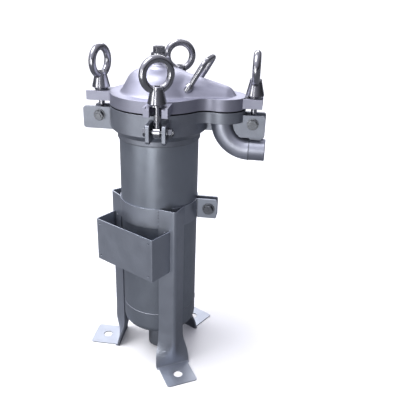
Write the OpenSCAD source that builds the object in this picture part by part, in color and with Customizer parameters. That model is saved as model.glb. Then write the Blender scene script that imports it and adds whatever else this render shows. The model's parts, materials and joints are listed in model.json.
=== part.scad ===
// Over-the-top inlet bag filter housing in stainless steel.
// The vessel axis is Z, the floor is z = 0 and the inlet lobe points along +X.
// Flow enters the side pipe, rises through the lobe into the lid and falls into the basket.

/* [Vessel] */
// Outside diameter of the shell
shell_od = 219.1; // [216:0.1:223]
// Wall of the shell and of the bottom head
shell_wall = 3; // [2.5:0.5:4]
// Height of the weld between bottom head and shell
weld_height = 177; // [170:1:186]
// Length of the shell above that weld
shell_length = 522; // [490:1:550]
// Straight skirt of the bottom head
head_skirt = 47; // [40:1:54]
// Crown radius of the bottom head
head_crown = 219; // [200:1:240]
// Knuckle radius of the bottom head
head_knuckle = 24; // [20:1:30]
// Outside diameter of the outlet socket
outlet_od = 71; // [68:0.5:76]
// Bore of the outlet socket
outlet_bore = 56.6; // [50:0.1:60]
// Gap between outlet socket and floor
outlet_clearance = 5; // [3:0.5:10]
// Length of the outlet socket
outlet_length = 57; // [50:1:64]
// Outside diameter of the neck above the socket
neck_od = 64; // [62:0.5:67]

/* [Flange casting] */
// Radius of the round flange
flange_r = 132; // [129:0.5:136]
// Distance from vessel axis to the inlet lobe centre
lobe_x = 173; // [168:0.5:178]
// Radius of the lobe
lobe_r = 62; // [58:0.5:66]
// Radius of the concave blends between flange and lobe
blend_r = 40; // [34:1:48]
// Total height of the casting
casting_h = 85; // [80:1:92]
// Thickness of the lobe plate
lobe_t = 29; // [25:0.5:33]
// Radius of the plain ring at the foot of the casting
foot_ring_r = 114; // [112.5:0.5:117]
// Height of that ring
foot_ring_h = 12; // [8:0.5:16]
// Height of the cone above the ring
cone_h = 16; // [12:0.5:22]
// Radius of the main bore
bore_r = 95; // [92:0.5:98]
// Depth of the ledge that carries the basket
ledge_depth = 28; // [24:0.5:34]
// Radius of the opening inside the ledge
ledge_bore_r = 84; // [82:0.5:87]
// Thickness of the ledge
ledge_t = 12; // [8:0.5:16]
// Width of the rib between casting and elbow
rib_w = 9; // [6:0.5:12]

/* [Seal] */
// Distance from the flange edge to the middle of the seal
seal_inset = 17; // [15:0.5:19]
// Width of the seal
seal_w = 7; // [5:0.5:8]
// Depth of the seal groove
seal_depth = 5; // [4:0.5:7]
// Clearance on each side of the seal
seal_gap = 0.3; // [0.2:0.1:0.6]

/* [Inlet] */
// Outside diameter of the inlet elbow and pipe
inlet_od = 60.3; // [58:0.1:62]
// Wall of the inlet pipe
inlet_wall = 3; // [2:0.5:4]
// Bend radius of the elbow at its centre line
elbow_r = 76; // [72:0.5:80]
// Length of the pipe end after the elbow
pipe_length = 44; // [38:1:56]
// Neck under the lobe that the elbow is welded to
lobe_neck = 4; // [3:0.5:8]

/* [Lid] */
// Gap that shows between lid rim and flange
lid_gap = 4.3; // [3:0.1:6]
// How far the seat of the lid lies inside the rim
land_inset = 9; // [8:0.5:11]
// Height of the lid rim
rim_h = 31; // [27:0.5:35]
// Height of the dome above the rim
dome_h = 66; // [62:0.5:70]
// Crown radius of the dome
dome_crown = 173; // [165:1:180]
// Knuckle radius of the dome
dome_knuckle = 45; // [40:1:50]
// Angle at which the crown turns into the knuckle
crown_angle = 20; // [18:0.5:22]
// Slope of the flank of the dome
flank_angle = 61; // [59:2:63]
// Wall of the dome
lid_wall = 6; // [5:0.5:8]
// Wall of the channel between dome and lobe
channel_wall = 10; // [9.5:0.5:12]
// Distance from the vessel axis to the start of the channel
channel_x = 28; // [24:0.5:32]
// Height of the channel crest above the rim at its start
crest_root_h = 66; // [62:0.5:68]
// Height of the channel crest above the rim at its round end
crest_tip_h = 24; // [21:0.5:28]
// Radius of the channel at its start
channel_root_r = 86; // [80:0.5:88]
// Radius of the channel at its round end
channel_tip_r = 37; // [34:0.5:40]
// How far the channel runs on past the middle of the lobe
channel_past = 9; // [5:0.5:12]
// Half width of the passage through the rim
passage_r = 30; // [26:0.5:32]
// Diameter of the vent boss
boss_d = 59; // [54:0.5:64]
// Height of the vent boss above the dome
boss_h = 27; // [23:0.5:32]
// Rounding of the shoulder of the boss
boss_round = 9; // [6:0.5:12]

/* [Vent plug] */
// Thread diameter of the vent plug
vent_d = 20; // [16:0.5:24]
// Depth of the thread in the boss
vent_depth = 18; // [14:0.5:24]
// Diameter of the plug collar
vent_collar_d = 42; // [38:0.5:46]
// Height of the plug collar
vent_collar_h = 6.5; // [5:0.5:9]
// Size of the plug hexagon across its flats
vent_hex = 27; // [22:0.5:30]
// Height of the plug hexagon
vent_hex_h = 16; // [12:0.5:20]
// Thickness of the seal under the collar
vent_seal_t = 1.5; // [1:0.1:2.5]

/* [Lid handle] */
// Diameter of the handle bar
handle_d = 14.5; // [12:0.5:16]
// Distance between the two legs of the handle
handle_span = 100; // [92:1:106]
// Where the handle legs stand along the channel
handle_x = 94.5; // [90:0.5:100]
// Height of the handle above the rim
handle_h = 92; // [86:1:100]
// Lean of the handle towards the lobe
handle_lean = 31; // [26:1:36]
// Turn of the handle about the vertical, away from square to the channel
handle_turn = 6.5; // [0:0.5:10]
// Bend radius of the handle corners
handle_bend = 17; // [14:0.5:22]
// Diameter of the weld collars at the handle feet
handle_collar_d = 24; // [20:0.5:28]
// Height of the cone of a weld collar
handle_collar_h = 9; // [6:0.5:12]

/* [Clamp stations] */
// Where the front and rear swing bolts stand along the inlet direction
side_bolt_x = 28; // [24:0.5:32]
// Distance of the front and rear swing bolts from the inlet plane
side_bolt_y = 157; // [155:0.5:161]
// Distance of the left swing bolt from the vessel axis
left_bolt_x = 160.5; // [158:0.5:164]
// Distance of the right swing bolt from the vessel axis
right_bolt_x = 256.5; // [254:0.5:261]
// Height of the clevis pins below the flange face
pin_drop = 33; // [31:0.5:36]
// Width of the lid lugs
lug_w = 61; // [57:0.5:65]
// Depth of the lid lugs below the rim
lug_h = 27; // [24:0.5:29]
// Width of the slot in the lid lugs
lug_slot = 31; // [26:0.5:33]
// How far the front, rear and right lugs reach past their bolts
lug_reach = 22; // [20:0.5:26]
// How far the front ear of the left lug reaches past its bolt
left_lug_reach = 33; // [30:0.5:36]
// How far the top of the lugs, where the nuts sit, lies below the rim
pocket_depth = 2.4; // [1.5:0.1:3.5]
// Gap between the clevis plates
clevis_gap = 32; // [28:0.5:35]
// Thickness of the clevis plates
clevis_t = 9; // [7:0.5:11]
// Height of the clevis plates above the pin
clevis_up = 22.5; // [21:0.5:25]
// Depth of the front and rear clevis plates below the pin
clevis_down = 27; // [24:0.5:32]
// Depth of the left and right clevis plates below the pin
clevis_deep = 38; // [35:0.5:39.5]
// How far the other left plate and the front and rear plates reach past the pin
clevis_reach = 24; // [21:0.5:28]
// How far the front plate of the left clevis reaches past the pin
left_clevis_reach = 46; // [42:0.5:50]
// How far the right plates reach past the pin
right_clevis_reach = 33; // [30:0.5:36]
// Rounding of the clevis plate corners
clevis_round = 8; // [5:0.5:10]

/* [Swing bolts] */
// Diameter of the swing bolt rod
rod_d = 16; // [14:0.5:18]
// Diameter of the eye
eye_d = 28; // [25:0.5:31]
// Width of the eye
eye_w = 17; // [15:0.5:21]
// Diameter of the collar above the eye
rod_collar_d = 19; // [17.5:0.5:22]
// Diameter of the clevis pins
pin_d = 14; // [12:0.5:16]
// Clearance between eye and pin, and between nut and rod
running_gap = 0.06; // [0.03:0.01:0.1]
// Size of the pin head and nut across their flats
pin_hex = 22; // [19:0.5:24]
// Height of the pin head
pin_head_h = 7; // [5:0.5:10]
// Height of the pin nut
pin_nut_h = 11; // [8:0.5:13]
// Diameter of the pin washers
pin_washer_d = 31; // [28:0.5:34]
// Thickness of the pin washers
pin_washer_t = 2.5; // [1.5:0.5:4]
// Length of pin that shows past its nut
pin_tip = 3; // [1:0.5:5]

/* [Eye nuts] */
// Diameter of the nut seat
nut_seat_d = 36; // [34:0.5:38]
// Largest diameter of the nut cone
nut_base_d = 48.5; // [46:0.5:51]
// Diameter of the nut cone at its top
nut_top_d = 32; // [30:0.5:34]
// Height from seat to the widest part of the cone
nut_swell = 7.5; // [6:0.5:9]
// Height of the nut cone
nut_cone_h = 42; // [38:0.5:44]
// Height of the plain nub on top of the cone
nut_nub_h = 6; // [4:0.5:8]
// Height of the ring centre above the seat
ring_height = 75; // [72:0.5:79]
// Centre line diameter of the ring
ring_d = 74; // [72:0.5:76]
// Bar diameter of the ring
ring_bar = 19; // [17:0.5:20]
// Turn of each ring about its rod: left, front, right and rear
ring_turn = [74, 37, 90, 22];

/* [Basket] */
// Outside diameter of the basket
basket_d = 160; // [154:1:164]
// Length of the basket below its ring
basket_length = 400; // [360:5:420]
// Wall of the basket
basket_wall = 1.5; // [1:0.5:3]
// Thickness of the basket ring
basket_ring_t = 12; // [9:0.5:15]
// Gap between basket ring and bore
basket_gap = 0.6; // [0.4:0.1:1.5]
// Diameter of the perforation
hole_d = 18; // [10:1:20]
// Rows of perforation
hole_rows = 7; // [5:1:9]
// Holes in each row
hole_columns = 10; // [8:2:12]
// Bar diameter of the lifting bail
bail_bar = 6; // [5:0.5:8]
// Radius of the lifting bail
bail_r = 84; // [82.5:0.5:85]

/* [Stand] */
// Thickness of the stand sheet
leg_t = 3; // [2.5:0.5:4]
// Width of each side of a leg
leg_side = 50; // [46:1:54]
// Outer radius of the leg ridge
leg_ridge_r = 140; // [138:0.5:143]
// Bend radius of the ridge
leg_nose = 9; // [6:0.5:12]
// Half of the angle that the ridge is pressed through
leg_angle = 45; // [42:1:48]
// Height at which the leg starts to flatten
leg_flatten = 92; // [80:1:110]
// Top of the band and legs above the floor
band_top = 521; // [500:1:535]
// Height of the band
band_h = 58; // [52:1:64]
// Radius of the foot holes from the vessel axis
foot_hole_pcr = 174.3; // [170:0.1:179]
// Diameter of the foot holes
foot_hole_d = 28; // [22:0.5:32]
// Outer reach of the feet
foot_reach = 217; // [212:0.5:222]
// Width of the feet
foot_w = 92; // [86:1:98]
// Corner rounding of the feet
foot_round = 8; // [5:0.5:14]
// Clearance between band and shell
band_gap = 0.2; // [0.1:0.1:0.5]

/* [Band clamp] */
// Distance between the two clamp lugs
clamp_gap = 20; // [16:0.5:24]
// Thickness of the clamp lugs
clamp_t = 4; // [3:0.5:6]
// How far the clamp lugs reach out
clamp_reach = 170; // [164:0.5:176]
// Radius of the clamp bolt from the vessel axis
clamp_bolt_r = 146; // [141:0.5:151]
// Diameter of the clamp bolt
clamp_bolt_d = 16; // [12:1:18]
// Size of its head and nut across their flats
clamp_hex = 24; // [21:0.5:27]
// Height of the clamp bolt head
clamp_head_h = 10; // [8:0.5:12]
// Height of the clamp nut
clamp_nut_h = 13; // [10:0.5:16]
// Diameter of the clamp washers
clamp_washer_d = 34; // [30:0.5:38]
// Thickness of the clamp washers
clamp_washer_t = 3; // [2:0.5:4]

/* [Nameplate bracket] */
// Width of the bracket face
bracket_w = 215; // [208:1:220]
// Height of the bracket
bracket_h = 128; // [120:1:140]
// Distance from the top of the band down to the top of the bracket
bracket_drop = 59; // [50:1:80]
// Distance of the bracket face from the vessel axis
bracket_face = 150; // [146:0.5:156]
// Thickness of the bracket sheet
bracket_t = 2; // [1.5:0.5:3]
// Bend radius of the bracket corners
bracket_bend = 4; // [3:0.5:7]
// Diameter of the nameplate holes
plate_hole_d = 5; // [3:0.5:6]
// Inset of the nameplate holes from the bracket edges
plate_hole_inset = 14; // [11:0.5:18]

/* [Hidden] */
$fn = 96;

// Steel tones
cast_steel = "#8d9096";
brushed_steel = "#9aa0a8";
bright_steel = "#c9cbce";
blasted_steel = "#a9abb8";
black_rubber = "#202224";

// Small overlap for cuts that run out of a solid
eps = 1;
shell_r = shell_od / 2;
casting_z = weld_height + shell_length;
flange_z = casting_z + casting_h;
rim_z = flange_z + lid_gap;
rim_top = rim_z + rim_h;
pin_z = flange_z - pin_drop;
seat_z = rim_top - pocket_depth;
nut_r = seat_z - pin_z;
ledge_z = flange_z - ledge_depth;
inlet_r = inlet_od / 2;
elbow_top = flange_z - lobe_t - lobe_neck;
inlet_z = elbow_top - elbow_r;
elbow_x = lobe_x + elbow_r;
clevis_half = clevis_gap / 2 + clevis_t;

// Each station is [x, y, direction, lug reaches, clevis reaches, clevis depth]
// The two reaches are for the right and the left half, seen from the vessel
LEFT = 0;
FRONT = 1;
RIGHT = 2;
REAR = 3;
stations = [
    [-left_bolt_x, 0, 180, [lug_reach, left_lug_reach], [clevis_reach, left_clevis_reach], clevis_deep],
    [side_bolt_x, -side_bolt_y, 270, [lug_reach, lug_reach], [clevis_reach, clevis_reach], clevis_down],
    [right_bolt_x, 0, 0, [lug_reach, lug_reach], [right_clevis_reach, right_clevis_reach], clevis_deep],
    [side_bolt_x, side_bolt_y, 90, [lug_reach, lug_reach], [clevis_reach, clevis_reach], clevis_down],
];

// Puts its children at a clamp station with x pointing away from the vessel
module at_station(i) {
    s = stations[i];
    translate([s[0], s[1], 0]) rotate([0, 0, s[2]]) children();
}

// Lays a drawing with x outward and y upward on edge, thickness t centred on the station plane
module on_edge(t) {
    rotate([90, 0, 0]) linear_extrude(height = t, center = true) children();
}

module tube(r_out, r_in, z0, z1) {
    translate([0, 0, z0]) difference() {
        cylinder(r = r_out, h = z1 - z0);
        translate([0, 0, -eps]) cylinder(r = r_in, h = z1 - z0 + 2 * eps);
    }
}

module hexagon(across, h) {
    cylinder(d = across / cos(30), h = h, $fn = 6);
}

// Round flange and lobe joined by concave blends, grown by d all round
module teardrop(d = 0) {
    big = flange_r + d;
    small = lobe_r + d;
    fill = blend_r - d;
    bx = (lobe_x * lobe_x + pow(big + fill, 2) - pow(small + fill, 2)) / (2 * lobe_x);
    by = sqrt(pow(big + fill, 2) - bx * bx);
    circle(r = big);
    translate([lobe_x, 0]) circle(r = small);
    difference() {
        polygon([[0, 0], [bx, -by], [lobe_x, 0], [bx, by]]);
        for (side = [-1, 1]) translate([bx, side * by]) circle(r = fill);
    }
}

/* Vessel */

// Half section of the dished bottom head, inset by w
module head_section(w) {
    knuckle_x = shell_r - head_knuckle;
    knuckle_z = weld_height - head_skirt;
    crown_z = knuckle_z + sqrt(pow(head_crown - head_knuckle, 2) - pow(knuckle_x, 2));
    turn_x = (head_crown - w) * knuckle_x / (head_crown - head_knuckle);
    intersection() {
        translate([0, crown_z]) circle(r = head_crown - w);
        translate([0, knuckle_z - 2 * head_knuckle - head_crown])
            square([turn_x, 2 * head_knuckle + head_crown]);
    }
    translate([knuckle_x, knuckle_z]) circle(r = head_knuckle - w);
    translate([0, knuckle_z]) square([shell_r - w, head_skirt]);
}

function head_bottom() =
    let (knuckle_z = weld_height - head_skirt, reach = head_crown - head_knuckle)
    knuckle_z + sqrt(pow(reach, 2) - pow(shell_r - head_knuckle, 2)) - head_crown;

module shell() {
    color(brushed_steel) tube(shell_r, shell_r - shell_wall, weld_height, casting_z);
}

module bottom_head() {
    color(brushed_steel) difference() {
        rotate_extrude() difference() {
            head_section(0);
            head_section(shell_wall);
            translate([0, weld_height - eps]) square([shell_r - shell_wall, 2 * eps]);
        }
        cylinder(d = outlet_bore, h = weld_height);
    }
}

module outlet_socket() {
    top = outlet_clearance + outlet_length;
    color(cast_steel) difference() {
        union() {
            translate([0, 0, outlet_clearance]) cylinder(d = outlet_od, h = outlet_length);
            translate([0, 0, top]) cylinder(d = neck_od, h = head_bottom() + head_knuckle - top);
        }
        cylinder(d = outlet_bore, h = weld_height);
        rotate_extrude() head_section(0);
        translate([0, 0, outlet_clearance - eps])
            cylinder(d1 = outlet_bore + 4 * eps, d2 = outlet_bore - 4 * eps, h = 4 * eps);
    }
}

/* Flange casting */

// Half section of the round part of the casting
module casting_section() {
    ring_top = casting_z + foot_ring_h;
    polygon([
        [0, casting_z], [foot_ring_r, casting_z], [foot_ring_r, ring_top],
        [flange_r, ring_top + cone_h], [flange_r, flange_z], [0, flange_z],
    ]);
}

module casting_outside() {
    rotate_extrude() casting_section();
    translate([0, 0, flange_z - lobe_t]) linear_extrude(height = lobe_t) teardrop();
}

module casting_cavity() {
    inner = shell_r - shell_wall;
    ledge_low = ledge_z - ledge_t;
    slope = inner - ledge_bore_r;
    translate([0, 0, ledge_z]) cylinder(r = bore_r, h = ledge_depth + eps);
    translate([0, 0, casting_z - eps]) cylinder(r = ledge_bore_r, h = casting_h);
    translate([0, 0, casting_z - eps]) cylinder(r = inner, h = ledge_low - slope - casting_z + eps);
    translate([0, 0, ledge_low - slope]) cylinder(r1 = inner, r2 = ledge_bore_r, h = slope);
    translate([lobe_x, 0, elbow_top - eps])
        cylinder(r = inlet_r - inlet_wall, h = flange_z - elbow_top + 2 * eps);
}

module flange_casting() {
    rib_low = elbow_top - lobe_t;
    color(cast_steel) difference() {
        union() {
            casting_outside();
            translate([lobe_x, 0, elbow_top]) cylinder(r = inlet_r, h = lobe_neck + eps);
            difference() {
                translate([flange_r - lobe_t, -rib_w / 2, rib_low])
                    cube([lobe_x - flange_r + lobe_t, rib_w, flange_z - lobe_t - rib_low]);
                elbow_outside();
            }
        }
        casting_cavity();
        translate([0, 0, flange_z - seal_depth]) linear_extrude(height = seal_depth + eps) difference() {
            teardrop(seal_w / 2 + seal_gap - seal_inset);
            teardrop(-seal_w / 2 - seal_gap - seal_inset);
        }
    }
}

module lid_seal() {
    color(black_rubber) translate([0, 0, flange_z - seal_depth])
        linear_extrude(height = seal_depth) difference() {
        teardrop(seal_w / 2 - seal_inset);
        teardrop(-seal_w / 2 - seal_inset);
    }
}

/* Inlet */

// Quarter bend from the lobe neck to the level pipe, solid or as a bore of radius r
module elbow_bend(r) {
    translate([elbow_x, 0, elbow_top]) rotate([90, 0, 0]) rotate([0, 0, 180])
        rotate_extrude(angle = 90) translate([elbow_r, 0]) circle(r = r);
}

module level_pipe(r, x1) {
    translate([elbow_x, 0, inlet_z]) rotate([0, 90, 0]) cylinder(r = r, h = x1 - elbow_x);
}

module elbow_outside() {
    elbow_bend(inlet_r);
    level_pipe(inlet_r, elbow_x + pipe_length);
}

module inlet_elbow() {
    color(blasted_steel) difference() {
        elbow_bend(inlet_r);
        elbow_bend(inlet_r - inlet_wall);
    }
}

module inlet_pipe() {
    end_x = elbow_x + pipe_length;
    bevel = inlet_wall * 0.6;
    color(blasted_steel) difference() {
        union() {
            level_pipe(inlet_r, end_x - bevel);
            translate([end_x - bevel, 0, inlet_z]) rotate([0, 90, 0])
                cylinder(r1 = inlet_r, r2 = inlet_r - bevel, h = bevel);
        }
        translate([-eps, 0, 0]) level_pipe(inlet_r - inlet_wall, end_x + 2 * eps);
    }
}

/* Clamp stations */

// Clevis plate outline from the station's own pin, outward and upward
module clevis_outline(reach, depth, inward) {
    r = clevis_round;
    translate([-inward, -depth + r]) square([inward + reach, clevis_up + depth - 2 * r]);
    translate([-inward, -depth]) square([inward + reach - r, clevis_up + depth]);
    for (z = [-depth + r, clevis_up - r]) translate([reach - r, z]) circle(r = r);
}

module clevis_pair(i, inward) {
    s = stations[i];
    at_station(i) translate([0, 0, pin_z]) difference() {
        for (half = [0, 1]) translate([0, (2 * half - 1) * (clevis_gap + clevis_t) / 2, 0])
            on_edge(clevis_t) clevis_outline(s[4][half], s[5], inward);
        rotate([90, 0, 0]) cylinder(d = pin_d + 2 * running_gap, h = 4 * clevis_half, center = true);
    }
}

module round_clevis(i) {
    color(cast_steel) difference() {
        clevis_pair(i, clevis_gap + clevis_t);
        casting_outside();
    }
}

module clevis_left() { round_clevis(LEFT); }
module clevis_front() { round_clevis(FRONT); }
module clevis_rear() { round_clevis(REAR); }

// The right clevis stands in the crook of the elbow on a bridge and a web
module clevis_right() {
    crook_r = elbow_r - inlet_r - eps;
    tip_x = right_bolt_x + right_clevis_reach - clevis_round;
    bottom = pin_z - clevis_deep;
    bridge_t = 5;
    color(cast_steel) difference() {
        union() {
            intersection() {
                clevis_pair(RIGHT, right_bolt_x - lobe_x);
                union() {
                    translate([elbow_x, 0, elbow_top]) rotate([90, 0, 0])
                        cylinder(r = crook_r, h = 4 * clevis_half, center = true);
                    translate([elbow_x, -2 * clevis_half, bottom])
                        cube([clevis_deep + pipe_length, 4 * clevis_half, casting_h]);
                    translate([lobe_x, -2 * clevis_half, elbow_top])
                        cube([elbow_r, 4 * clevis_half, casting_h]);
                }
            }
            translate([elbow_x, -clevis_gap / 2, bottom]) cube([tip_x - elbow_x, clevis_gap, bridge_t]);
            translate([elbow_x, -clevis_t, inlet_z])
                cube([tip_x - elbow_x, 2 * clevis_t, bottom - inlet_z + eps]);
        }
        casting_outside();
        elbow_outside();
        translate([lobe_x, 0, elbow_top - eps]) cylinder(r = inlet_r, h = lobe_neck + 2 * eps);
    }
}

// Stack outside a clevis plate: washer, then head or nut
module at_each_pin() {
    for (i = [LEFT, FRONT, RIGHT, REAR]) at_station(i) translate([0, 0, pin_z]) children();
}

module clevis_pins() {
    washer_end = clevis_half + pin_washer_t;
    far_end = washer_end + pin_nut_h + pin_tip;
    color(bright_steel) at_each_pin() {
        rotate([-90, 0, 0]) translate([0, 0, -washer_end]) cylinder(d = pin_d, h = washer_end + far_end);
        rotate([90, 0, 0]) translate([0, 0, washer_end]) hexagon(pin_hex, pin_head_h);
    }
}

module pin_washers() {
    color(bright_steel) at_each_pin() for (side = [-90, 90]) rotate([side, 0, 0])
        tube(pin_washer_d / 2, pin_d / 2 + running_gap, clevis_half, clevis_half + pin_washer_t);
}

module pin_nuts() {
    color(bright_steel) at_each_pin() rotate([-90, 0, 0]) translate([0, 0, clevis_half + pin_washer_t])
        difference() {
            hexagon(pin_hex, pin_nut_h);
            translate([0, 0, -eps]) cylinder(d = pin_d + 2 * running_gap, h = pin_nut_h + 2 * eps);
        }
}

/* Swing bolts and eye nuts */

module swing_bolt(i) {
    collar_z = eye_d * 0.5;
    collar_h = 5;
    rod_top = nut_r + nut_cone_h - collar_h;
    color(bright_steel) at_station(i) translate([0, 0, pin_z]) difference() {
        union() {
            rotate([90, 0, 0]) cylinder(d = eye_d, h = eye_w, center = true);
            cylinder(d = rod_d, h = rod_top);
            translate([0, 0, collar_z - eps]) cylinder(d = rod_collar_d, h = collar_h + eps);
        }
        rotate([90, 0, 0]) cylinder(d = pin_d + 2 * running_gap, h = 2 * eye_w, center = true);
    }
}

module swing_bolt_left() { swing_bolt(LEFT); }
module swing_bolt_front() { swing_bolt(FRONT); }
module swing_bolt_right() { swing_bolt(RIGHT); }
module swing_bolt_rear() { swing_bolt(REAR); }

// Half section of the nut cone above its seat
module nut_section() {
    polygon([
        [0, 0], [nut_seat_d / 2, 0], [nut_seat_d / 2, nut_swell - 3.5],
        [nut_base_d / 2 - 0.5, nut_swell - 1], [nut_base_d / 2, nut_swell],
        [nut_top_d / 2, nut_cone_h], [nut_top_d / 2, nut_cone_h + nut_nub_h - 1],
        [nut_top_d / 2 - 1, nut_cone_h + nut_nub_h], [0, nut_cone_h + nut_nub_h],
    ]);
}

module eye_nut(i) {
    s = stations[i];
    color(bright_steel) translate([s[0], s[1], seat_z]) difference() {
        union() {
            rotate_extrude() nut_section();
            translate([0, 0, ring_height]) rotate([0, 0, ring_turn[i]]) rotate([90, 0, 0])
                rotate_extrude() translate([ring_d / 2, 0]) circle(d = ring_bar);
        }
        translate([0, 0, -eps]) cylinder(d = rod_d + 2 * running_gap, h = ring_height);
    }
}

module eye_nut_left() { eye_nut(LEFT); }
module eye_nut_front() { eye_nut(FRONT); }
module eye_nut_right() { eye_nut(RIGHT); }
module eye_nut_rear() { eye_nut(REAR); }

/* Lid */

// Centre of the dome knuckle in the half section
knuckle_x = (dome_crown - dome_knuckle) * sin(crown_angle);
knuckle_z = rim_top + dome_h - dome_crown + (dome_crown - dome_knuckle) * cos(crown_angle);

// Radius at which the flank, inset by w, meets the rim
function flank_foot(w) =
    knuckle_x + (dome_knuckle - w) * sin(flank_angle)
    + (knuckle_z + (dome_knuckle - w) * cos(flank_angle) - rim_top) / tan(flank_angle);

// Half section of the dome above the rim, inset by w
module dome_section(w) {
    crown_z = rim_top + dome_h - dome_crown;
    crown_r = dome_crown - w;
    knuckle_r = dome_knuckle - w;
    intersection() {
        translate([0, crown_z]) circle(r = crown_r);
        translate([0, rim_top]) square([crown_r * sin(crown_angle), dome_h]);
    }
    intersection() {
        translate([knuckle_x, knuckle_z]) circle(r = knuckle_r);
        translate([0, rim_top]) square([2 * flange_r, dome_h]);
    }
    polygon([
        [0, rim_top], [flank_foot(w), rim_top],
        [knuckle_x + knuckle_r * sin(flank_angle), knuckle_z + knuckle_r * cos(flank_angle)],
        [knuckle_x, knuckle_z], [0, knuckle_z],
    ]);
}

module dome(w) {
    rotate([0, 0, 180]) rotate_extrude() dome_section(w);
}

channel_root_z = rim_top + crest_root_h - channel_root_r;
channel_run = lobe_x + channel_past - channel_x;
channel_fall = channel_root_z - rim_top - crest_tip_h + channel_tip_r;
channel_length = sqrt(channel_run * channel_run + channel_fall * channel_fall);
channel_taper = atan2(channel_root_r - channel_tip_r, channel_length);

// Lays its children's z axis along the channel
module along_channel() {
    translate([channel_x, 0, channel_root_z])
        rotate([0, 90 + atan2(channel_fall, channel_run), 0]) children();
}

// Narrowing channel from the dome down to the lobe, inset by w
module channel(w) {
    root_r = channel_root_r - w;
    tip_r = channel_tip_r - w;
    end = channel_length - tip_r * tan(channel_taper);
    along_channel() rotate_extrude() {
        polygon([[0, 0], [root_r, 0], [tip_r, channel_length], [0, channel_length]]);
        intersection() {
            translate([0, end]) circle(r = tip_r / cos(channel_taper));
            translate([0, channel_length]) square(2 * tip_r);
        }
    }
}

module lid_outside() {
    translate([0, 0, rim_z]) linear_extrude(height = rim_h) teardrop();
    dome(0);
    intersection() {
        channel(0);
        translate([-shell_r, -shell_r, rim_z + eps]) cube([4 * shell_r, 2 * shell_r, 4 * dome_h]);
    }
}

module lid_inside() {
    translate([0, 0, flange_z - eps]) linear_extrude(height = rim_top - flange_z + 2 * eps) {
        circle(r = bore_r + eps);
        translate([0, -passage_r]) square([lobe_x, 2 * passage_r]);
        translate([lobe_x, 0]) circle(r = passage_r);
    }
    dome(lid_wall);
    intersection() {
        channel(channel_wall);
        translate([-shell_r, -shell_r, flange_z - eps]) cube([4 * shell_r, 2 * shell_r, 4 * dome_h]);
    }
}

// Lug block at a station, reaching back into the rim
module lug(i) {
    back = lug_w;
    at_station(i) for (half = [0, 1]) translate([-back, half ? -eps : -lug_w / 2, rim_top - lug_h])
        cube([back + stations[i][3][half], lug_w / 2 + eps, lug_h - pocket_depth]);
}

// Slot for the rod, and the room in which the nut swings out
module lug_cuts(i) {
    reach = max(stations[i][3]);
    half = nut_base_d / 2 + 0.6;
    swing_r = nut_r - 0.2;
    at_station(i) {
        translate([0, -lug_slot / 2, rim_top - lug_h - eps]) cube([reach + eps, lug_slot, lug_h + 2 * eps]);
        translate([0, 0, rim_top - lug_h - eps]) cylinder(d = lug_slot, h = lug_h + 2 * eps);
        translate([0, 0, seat_z]) cylinder(r = half, h = pocket_depth + eps);
        difference() {
            translate([0, -half, pin_z]) cube([reach + eps, 2 * half, nut_r + pocket_depth + eps]);
            translate([0, 0, pin_z]) rotate([90, 0, 0]) cylinder(r = swing_r, h = 4 * half, center = true);
            translate([-eps, -2 * half, 0]) cube([reach + 4 * eps, 4 * half, rim_top - lug_h - 2 * eps]);
        }
    }
}

module vent_boss() {
    top = rim_top + dome_h + boss_h;
    flat = boss_d / 2 - boss_round;
    rotate_extrude() {
        translate([0, rim_top + dome_h / 2]) square([boss_d / 2, top - boss_round - rim_top - dome_h / 2]);
        translate([0, top - boss_round - eps]) square([flat, boss_round + eps]);
        intersection() {
            translate([flat, top - boss_round]) circle(r = boss_round);
            translate([flat - eps, top - boss_round - eps]) square(2 * boss_round);
        }
    }
}

module lid() {
    color(blasted_steel) difference() {
        union() {
            lid_outside();
            translate([0, 0, flange_z]) linear_extrude(height = lid_gap + eps) teardrop(-land_inset);
            for (i = [LEFT, FRONT, RIGHT, REAR]) lug(i);
            vent_boss();
        }
        lid_inside();
        for (i = [LEFT, FRONT, RIGHT, REAR]) lug_cuts(i);
        translate([0, 0, rim_top]) cylinder(d = vent_d + 2 * running_gap, h = 2 * dome_h);
    }
}

// Radius of the channel at a handle foot
function foot_r(side) =
    let (along = (handle_x + side * handle_span / 2 * sin(handle_turn) - channel_x) / channel_run)
    channel_root_r + (channel_tip_r - channel_root_r) * along;

// Height of the channel above the rim at a handle foot
function foot_h(side) =
    let (
        r = foot_r(side),
        along = (channel_root_r - r) / (channel_root_r - channel_tip_r)
    )
    crest_root_h + (crest_tip_h - crest_root_h) * along - r + sqrt(r * r - handle_span * handle_span / 4);

// Puts a drawing of the handle, x across and y up the lean, in its place on the lid
module on_lean() {
    back = crest_tip_h * tan(handle_lean);
    translate([handle_x - back, 0, rim_top]) rotate([0, 0, -handle_turn]) rotate([0, handle_lean, 0])
        rotate([90, 0, 90]) children();
}

handle_rise = handle_h / cos(handle_lean);

// Straight leg of the handle with its weld collar, ended flat on the flank of the channel
module handle_leg(side) {
    foot = foot_h(side) / cos(handle_lean);
    big = 2 * flange_r;
    difference() {
        on_lean() translate([side * handle_span / 2, 0, 0]) rotate([-90, 0, 0]) rotate_extrude()
            polygon([
                [0, 0], [handle_collar_d / 2, 0], [handle_collar_d / 2, foot],
                [handle_d / 2, foot + handle_collar_h], [handle_d / 2, handle_rise - handle_bend],
                [0, handle_rise - handle_bend]
            ]);
        along_channel() rotate([0, 0, 180 - side * asin(handle_span / 2 / foot_r(side))])
            translate([channel_root_r - 0.05, 0, 0]) rotate([0, -channel_taper, 0])
                translate([-big, -big, -big]) cube([big, 2 * big, 2 * big]);
    }
}

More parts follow.
